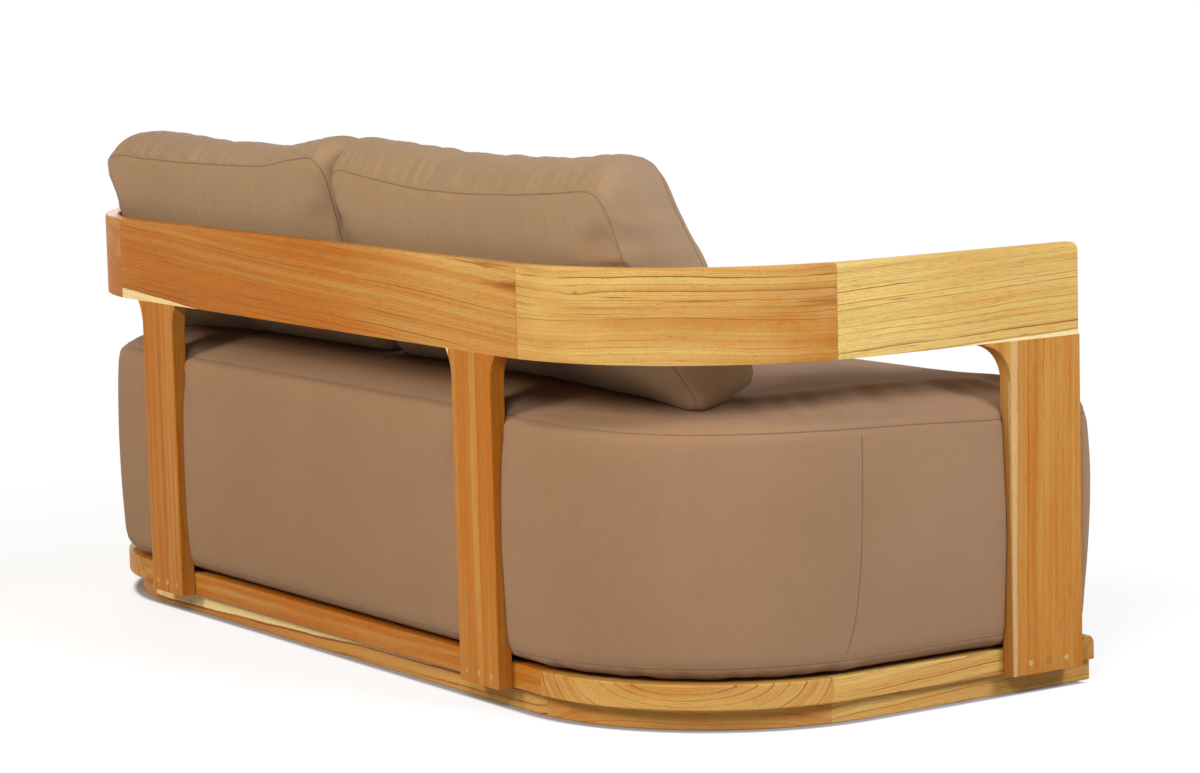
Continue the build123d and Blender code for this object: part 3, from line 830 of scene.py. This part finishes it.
def line_mesh(name, paths):
    """Mesh of bare edges along closed or open paths."""
    verts, edges = [], []
    for points, closed in paths:
        start, count = len(verts), len(points)
        verts += [tuple(p) for p in points]
        edges += [(start + i, start + i + 1) for i in range(count - 1)]
        if closed:
            edges.append((start + count - 1, start))
    mesh = bpy.data.meshes.new(name)
    mesh.from_pydata(verts, edges, [])
    return mesh


# Work of both kinds of cushion. A seam is the line in which its plane cuts the cover
CLOTH_STEPS = 20
SEAM_HOLD = 0.022
SEAM_STEP = 0.002
SEAM_THINNING = 3
EDGE_REACH = 0.014


def held_by(points, planes):
    """How firmly each point is held by the seams' planes, from 0 to 1."""
    away = np.min([np.abs(plane_distance(points, *plane)) for plane in planes], axis=0)
    return np.clip(1 - away / SEAM_HOLD, 0, 1) ** 1.5


def distances(points, loops):
    """How far each point is from the nearest point of the seams."""
    tree = KDTree(sum(len(loop) for loop in loops))
    for index, point in enumerate(np.vstack(loops)):
        tree.insert(point, index)
    tree.balance()
    return np.array([tree.find(point)[2] for point in points])


def puffed(stem, shape, rounds, planes):
    """Filled cover of a CAD cushion and the loops of its seams."""
    obj = remeshed(stem + "_cushion", shape.voxel, stem + "_pad")
    ease = obj.modifiers.new("Ease", "SMOOTH")
    ease.iterations = rounds
    ease.factor = 0.5
    bake(obj)
    inflate(obj, shape.pressure, shape.swell, held_by(points_of(obj.data), planes))
    obj.modifiers.new("Finer", "SUBSURF").levels = 1
    bake(obj)
    return obj, [evened(seam_loop(obj.data, *plane), SEAM_STEP) for plane in planes]


def crease(obj, loops, depth, width, edge=0.0):
    """Draw the cover in along its seams, and stand the edges beside them out."""
    away = distances(points_of(obj.data), loops)
    push = edge * np.exp(-away / EDGE_REACH) - depth * np.exp(-(away / width) ** 2)
    set_points(obj.data, points_of(obj.data) + normals_of(obj.data) * push[:, None])


def finish_cushion(obj, stem, paths, cloth, fold, radius, body):
    """Give a cushion its cloth, lay its seams along their paths and hand both over."""
    obj.data.materials.clear()
    obj.data.materials.append(cloth)
    name = stem + "_seams"
    seams = with_nodes(name, line_mesh(name, paths), fold, {"Radius": radius})
    for piece in (obj, seams):
        piece.data.polygons.foreach_set("use_smooth", [True] * len(piece.data.polygons))
        piece.data.update()
        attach(piece, body)
    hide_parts(stem + "_cushion")


class LOVESEAT_OT_timber(bpy.types.Operator):
    """Give every board of the frame its own teak"""

    bl_idname = "loveseat.timber"
    bl_label = "Teak boards"

    def execute(self, context):
        timber = context.scene.loveseat_timber
        group = grain_group()
        for seed, (name, board) in enumerate(BOARDS.items(), 1):
            dress(name, teak(name, board, seed, group, timber))
        return {"FINISHED"}


class LOVESEAT_OT_fasteners(bpy.types.Operator):
    """Finish the plugs, dowels and screws"""

    bl_idname = "loveseat.fasteners"
    bl_label = "Plugs, dowels and screws"

    def execute(self, context):
        timber = context.scene.loveseat_timber
        wood = plug_wood(timber)
        plugs = with_nodes("wooden_plugs", plug_points("wooden_plugs"), plug_group(wood),
                           {"Radius": timber.plug_radius, "Length": timber.plug_length})
        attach(plugs, "frame")
        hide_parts("post_plugs")
        dress("post_plugs", wood)
        beech, steel = dowel_beech(), screw_steel()
        for name in ("rail_dowels", "post_dowels", "ring_dowels"):
            dress(name, beech)
        for name in ("post_screws", "base_screws"):
            dress(name, steel)
        return {"FINISHED"}


# The seat's seams, and how far back and how high the seam down each side passes
SEAT_SEAMS = ((Vector((0, 0, 0.3965)), unit(0, -0.040, 1)),
              (Vector((0, 0, 0.0940)), unit(0, 0.004, 1)))
SIDE_SEAM = ((0.036, 0.392), (0.044, 0.223), (0.053, 0.139), (0.067, 0.0955))
SIDE_X = 0.91
SEAT_GAP = 0.0006
BACK_POST_WIDTH, ARM_POST_WIDTH = 0.100, 0.124


class LOVESEAT_OT_seat(bpy.types.Operator):
    """Make the notched seat cushion, its seams and its cover"""

    bl_idname = "loveseat.seat"
    bl_label = "Seat cushion"

    def execute(self, context):
        shape, fabric = context.scene.loveseat_seat, context.scene.loveseat_fabric
        obj, loops = puffed("seat", shape, 3, SEAT_SEAMS)
        loops = [self.settled(loop) for loop in loops]
        set_points(obj.data, self.settled(points_of(obj.data)))
        crease(obj, loops, 0.0020, 0.007)
        self.keep_clear(obj)
        cover = surface(obj.data)
        paths = [(nearest(cover, loop[::SEAM_THINNING]), True) for loop in loops]
        for side in (1, -1):
            line = nearest(cover, [(side * SIDE_X, y, z) for y, z in SIDE_SEAM])
            fine = evened(line, 0.006, closed=False, rounds=8)
            paths.append((nearest(cover, fine), False))
        finish_cushion(obj, "seat", paths,
                       weave("seat_cloth", fabric.yarn_pitch, fabric.cloth, fabric.shade),
                       fold_group(seam_cloth("seat_seam_cloth", fabric.shade, fabric.thread)),
                       fabric.seam_radius, "frame")
        return {"FINISHED"}

    def settled(self, points):
        """Sink the top under the back cushions' outer feet, and draw the front in at its foot."""
        points = points.copy()
        wide, deep, high = np.abs(points[:, 0]), points[:, 1], points[:, 2]
        crown = eased(high, 0.36, 0.425)
        fall = eased(-deep, 0.02, 0.32) * (0.003 + 0.004 * eased(wide, 0.45, 0.80))
        dent = 0.011 * np.exp(-((wide - 0.68) / 0.17) ** 2 - ((deep - 0.21) / 0.15) ** 2)
        points[:, 1] += 0.009 * eased(-deep, 0.20, 0.34) * eased(-high, -0.33, -0.10)
        points[:, 2] -= crown * fall + eased(high, 0.33, 0.40) * dent
        points[:, 2] -= 0.005 * eased(-high, -0.14, -0.09)
        return points

    def keep_clear(self, obj):
        """Keep the cover off the posts and the base of its frame."""
        points = points_of(obj.data)
        for name in ("left_back_post", "right_back_post", "left_arm_post", "right_arm_post"):
            low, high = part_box(name)
            if "back" in name:
                middle = (low.x + high.x) / 2
                low.x, high.x = middle - BACK_POST_WIDTH / 2, middle + BACK_POST_WIDTH / 2
                closed = 3
            else:
                high.y = low.y + ARM_POST_WIDTH
                closed = 1 if "left" in name else 0
            low -= Vector((SEAT_GAP, SEAT_GAP, 0))
            high += Vector((SEAT_GAP, SEAT_GAP, 0))
            inside = np.all((points > np.array(low)) & (points < np.array(high)), axis=1)
            ways = np.stack([points[:, 0] - low.x, high.x - points[:, 0],
                             points[:, 1] - low.y, high.y - points[:, 1]], axis=1)
            ways[:, closed] = np.inf
            pick = np.argmin(ways, axis=1)
            for way, edge in enumerate((low.x, high.x, low.y, high.y)):
                points[inside & (pick == way), way // 2] = edge
        points[:, 2] = np.maximum(points[:, 2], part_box("ring_front")[1].z + 0.0004)
        set_points(obj.data, points)


# The back cushions' lean, and their seams' planes
RECLINE = math.radians(20)
BACK_LEAN = Vector((0, math.cos(RECLINE), -math.sin(RECLINE)))
REAR_SEAM = (Vector((0, 0.297, 0.620)), BACK_LEAN)
FRONT_SEAM = (REAR_SEAM[0] - 0.108 * BACK_LEAN, BACK_LEAN)
BACK_GAP = 0.0012
PUCKER_REACH = 0.050
DENT_DEPTH = 0.0035

# How far the stuffing lifts the top and its rear seam, by distance from the middle of the seat
TOP_LIFT = {
    "left": ((0, 0.06, 0.12, 0.18, 0.25, 0.35, 0.45, 0.55, 0.65, 0.72),
             (0.005, 0.003, 0.0, -0.009, -0.011, -0.008, -0.007, -0.003, -0.006, -0.017)),
    "right": ((0, 0.1, 0.2, 0.6, 0.72), (0.006, 0.005, 0.004, 0.002, 0.001)),
}
SEAM_LIFT = {
    "left": ((0, 0.05, 0.27, 0.42, 0.58, 0.69, 0.76),
             (0.024, 0.026, 0.026, 0.022, 0.015, 0.018, 0.020)),
    "right": ((0, 0.1, 0.25, 0.4, 0.5, 0.6, 0.69, 0.76),
              (0.011, 0.008, 0.003, 0.004, 0.006, 0.009, 0.012, 0.012)),
}


def slumped(points, side):
    """Lift and sag the top, sharpen its outer corner and slide the foot forward."""
    points = points.copy()
    out, height = np.abs(points[:, 0]), points[:, 2]
    rear = plane_distance(points, *REAR_SEAM)
    front = plane_distance(points, *FRONT_SEAM)
    outer = eased(out, 0.62, 0.75)
    foot = eased(-height, -0.540, -0.425)
    lift = np.exp(-np.abs(rear) / 0.024) * eased(height, 0.60, 0.70) \
        * np.interp(out, *SEAM_LIFT[side])
    lift += np.exp(-np.abs(front) / 0.024) * eased(height, 0.68, 0.74) \
        * eased(out, 0.60, 0.74) * 0.008
    lift += eased(height, 0.60, 0.735) * np.interp(out, *TOP_LIFT[side])
    drawn = 0.024 * outer * eased(-rear, 0.02, 0.12) * eased(height, 0.60, 0.74)
    points[:, 0] += np.sign(points[:, 0]) * (0.006 * foot * outer - drawn)
    points[:, 1] -= (0.028 + 0.008 * outer) * foot
    points[:, 2] += lift - 0.014 * foot * outer
    return points


def puckers(obj, loops, depth, seed):
    """Short folds square to the seams that die out across the panels, and broad soft dents."""
    points = points_of(obj.data)
    away = distances(points, loops)
    near = np.exp(-away / PUCKER_REACH) * (1 - np.exp(-(away / 0.007) ** 2))
    rise = (points[:, 2] - 0.43) / 0.31
    out = np.abs(points[:, 0])
    side = np.minimum(out, 0.765 - out) / 0.31
    level = eased(side - (1 - rise), -0.12, 0.12)
    push = []
    for (x, y, z), flat, strength in zip(points, level, near * depth):
        upright = noise.noise(Vector((x * 34 + seed, z * 5, y * 5)))
        upright += 0.8 * noise.noise(Vector((x * 80, z * 6 + seed, y * 6)))
        sideways = noise.noise(Vector((z * 34 + seed, y * 5, x * 5)))
        broad = noise.noise(Vector((x * 5 + seed, y * 8, z * 7)))
        push.append((flat * upright + (1 - flat) * sideways) * strength + broad * DENT_DEPTH)
    set_points(obj.data, points + normals_of(obj.data) * np.array(push)[:, None])


def kept_off(points, side, seat):
    """Press the cover flat where it meets the rail, the seat and the other cushion."""
    points = points.copy()
    rail_low, rail_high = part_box("back_rail")
    beyond = np.maximum(points[:, 2] - rail_high.z, rail_low.z - points[:, 2]) - BACK_GAP
    limit = rail_low.y - BEND_Y - BACK_GAP + np.maximum(0, beyond)
    past_x = np.maximum(0, np.abs(points[:, 0]) - BEND_X)
    past_y = points[:, 1] - BEND_Y
    far = np.hypot(past_x, past_y)
    over = (past_y > 0) & (far > limit)
    shrink = limit[over] / far[over]
    points[over, 1] = BEND_Y + past_y[over] * shrink
    points[over, 0] -= np.sign(points[over, 0]) * past_x[over] * (1 - shrink)
    sign = 1 if side == "left" else -1
    points[:, 0] = sign * np.maximum(sign * points[:, 0], BACK_GAP)
    for index in np.nonzero(points[:, 2] < 0.47)[0]:
        x, y, z = points[index]
        under = seat.ray_cast(Vector((x, y, z + 0.08)), -Z)[0]
        if under is not None:
            points[index, 2] = max(z, under.z + BACK_GAP)
    return points


class LOVESEAT_OT_backs(bpy.types.Operator):
    """Make the two loose back cushions, their seams and their covers"""

    bl_idname = "loveseat.backs"
    bl_label = "Back cushions"

    def execute(self, context):
        shape, fabric = context.scene.loveseat_back, context.scene.loveseat_fabric
        # Paler cloth for the back cushions, partly painted light on their reclined panels
        cloth = weave("back_cloth", fabric.yarn_pitch, fabric.back_cloth, fabric.lit_back_shade)
        fold = fold_group(seam_cloth("back_seam_cloth", fabric.lit_back_shade, fabric.thread))
        seat = surface(bpy.data.objects["seat_pad"].data)
        for side, seed in (("left", 3.0), ("right", 8.0)):
            stem = side + "_back"
            obj, loops = puffed(stem, shape, 2, (REAR_SEAM, FRONT_SEAM))
            puckers(obj, loops, shape.fold_depth, seed)
            crease(obj, loops, 0.0015, 0.005, edge=0.0035)
            set_points(obj.data, kept_off(slumped(points_of(obj.data), side), side, seat))
            cover = surface(obj.data)
            paths = [(nearest(cover, slumped(loop[::SEAM_THINNING], side)), True)
                     for loop in loops]
            finish_cushion(obj, stem, paths, cloth, fold, fabric.seam_radius,
                           stem + "_cushion")
        return {"FINISHED"}


# The floor's half side, the plinth's outline on it, and each lamp: its bearing and height in
# degrees round the seat, its side in metres and its colour
FLOOR_REACH = 40
PLINTH_BEND, PLINTH_FRONT = 0.330, 0.350
LAMP_REACH = 5.4
LAMP_AIM = Vector((0, 0, 0.4))
LAMPS = {
    "back_lamp": (82, 30, 1.6, (1.0, 0.92, 0.78)),
    "side_lamp": (195, 32, 1.5, (0.95, 1.01, 1.18)),
    "corner_lamp": (138, 31, 1.4, (0.98, 1.03, 1.16)),
    "front_lamp": (262, 14, 2.0, (1.0, 0.98, 0.95)),
    "left_lamp": (340, 18, 2.0, (1.0, 0.98, 0.95)),
}


class LOVESEAT_OT_stage(bpy.types.Operator):
    """Set the camera, the pale floor and the soft lamps"""

    bl_idname = "loveseat.stage"
    bl_label = "Studio"

    def execute(self, context):
        scene, studio = context.scene, context.scene.loveseat_studio
        scene.view_settings.view_transform = "Standard"
        self.camera(scene, studio)
        self.floor()
        self.room(scene, studio.fill)
        for name, lamp in LAMPS.items():
            self.lamp(name, getattr(studio, name), *lamp)
        return {"FINISHED"}

    def camera(self, scene, studio):
        """Camera at its place, turned by its heading, pitch and roll."""
        data = bpy.data.cameras.new("camera")
        data.sensor_width = 36
        data.lens = studio.lens
        data.clip_end = 60
        obj = new_object("camera", data)
        obj.matrix_world = (Matrix.Translation(studio.camera_place)
                            @ Matrix.Rotation(studio.heading, 4, "Z")
                            @ Matrix.Rotation(math.pi / 2 - studio.pitch, 4, "X")
                            @ Matrix.Rotation(studio.roll, 4, "Z"))
        scene.camera = obj

    def floor(self):
        """Pale floor that shows white, keeps its shadows and ends in white far out."""
        reach = FLOOR_REACH
        mesh = bpy.data.meshes.new("floor")
        mesh.from_pydata([(-reach, -reach, 0), (reach, -reach, 0), (reach, reach, 0),
                          (-reach, reach, 0)], [], [(0, 1, 2, 3)])
        material, words, shader = new_material("pale_floor")
        seen = words.seen()
        place = words.place()
        x, y, _ = words.split(place)
        beyond = words.smooth(words.length(x, y), 1.0, 2.2) * seen
        wide, deep = words.larger(abs(x) - BEND_X, 0.0), words.larger(y - BEND_Y, 0.0)
        outside = words.larger(words.length(wide, deep) - PLINTH_BEND, y * -1.0 - PLINTH_FRONT)
        glow = seen * words.smooth(outside, 0.0, 0.012)
        pale = words.noise(place, 3.0) * 0.02 + seen * -0.20 + beyond * -0.36 + 0.56
        words.fill(shader, {
            "Base Color": words.stack(pale, pale, pale), "Roughness": 0.9,
            "Specular IOR Level": 0.0, "Emission Color": (1, 1, 1),
            "Emission Strength": glow * 0.68 + beyond * 0.32})
        mesh.materials.append(material)
        new_object("floor", mesh)

    def room(self, scene, fill):
        """White room to look at, which lights the seat with a weak warm light."""
        scene.world = bpy.data.worlds.new("room")
        scene.world.use_nodes = True
        scene.world.node_tree.nodes.clear()
        words = Words(scene.world.node_tree)
        seen = words.seen()
        light = words.out("ShaderNodeBackground", {
            "Strength": seen * (1.0 - fill) + fill,
            "Color": words.mix(seen, (1.0, 0.88, 0.76), (1, 1, 1))})
        words.node("ShaderNodeOutputWorld", {"Surface": light})

    def lamp(self, name, power, bearing, height, side, colour):
        """Square soft lamp, turned to the seat."""
        data = bpy.data.lights.new(name, "AREA")
        data.shape = "SQUARE"
        data.size = side
        data.energy = power
        data.color = colour
        obj = new_object(name, data)
        turn, rise = math.radians(bearing), math.radians(height)
        way = Vector((math.cos(turn) * math.cos(rise), math.sin(turn) * math.cos(rise),
                      math.sin(rise)))
        obj.location = LAMP_AIM + LAMP_REACH * way
        obj.rotation_euler = (-way).to_track_quat("-Z", "Y").to_euler()


class LOVESEAT_PT_panel(bpy.types.Panel):
    """Lists the loveseat's steps"""

    bl_idname = "LOVESEAT_PT_panel"
    bl_label = "Loveseat"
    bl_space_type = "VIEW_3D"
    bl_region_type = "UI"
    bl_category = "Loveseat"

    def draw(self, context):
        for step in STEPS:
            self.layout.operator(step.bl_idname)


STEPS = (LOVESEAT_OT_timber, LOVESEAT_OT_fasteners, LOVESEAT_OT_seat, LOVESEAT_OT_backs,
         LOVESEAT_OT_stage)
GROUPS = {"loveseat_timber": TimberFinish, "loveseat_fabric": FabricFinish,
          "loveseat_seat": SeatShape, "loveseat_back": BackShape, "loveseat_studio": StudioShape}


def register():
    for kind in (*GROUPS.values(), *STEPS, LOVESEAT_PT_panel):
        bpy.utils.register_class(kind)
    for name, kind in GROUPS.items():
        setattr(bpy.types.Scene, name, bpy.props.PointerProperty(type=kind))


def unregister():
    for name in GROUPS:
        delattr(bpy.types.Scene, name)
    for kind in (LOVESEAT_PT_panel, *reversed(STEPS), *reversed(GROUPS.values())):
        bpy.utils.unregister_class(kind)


def main():
    """Run every step in order."""
    register()
    for step in STEPS:
        group, name = step.bl_idname.split(".")
        getattr(getattr(bpy.ops, group), name)()


if __name__ == "__main__":
    main()
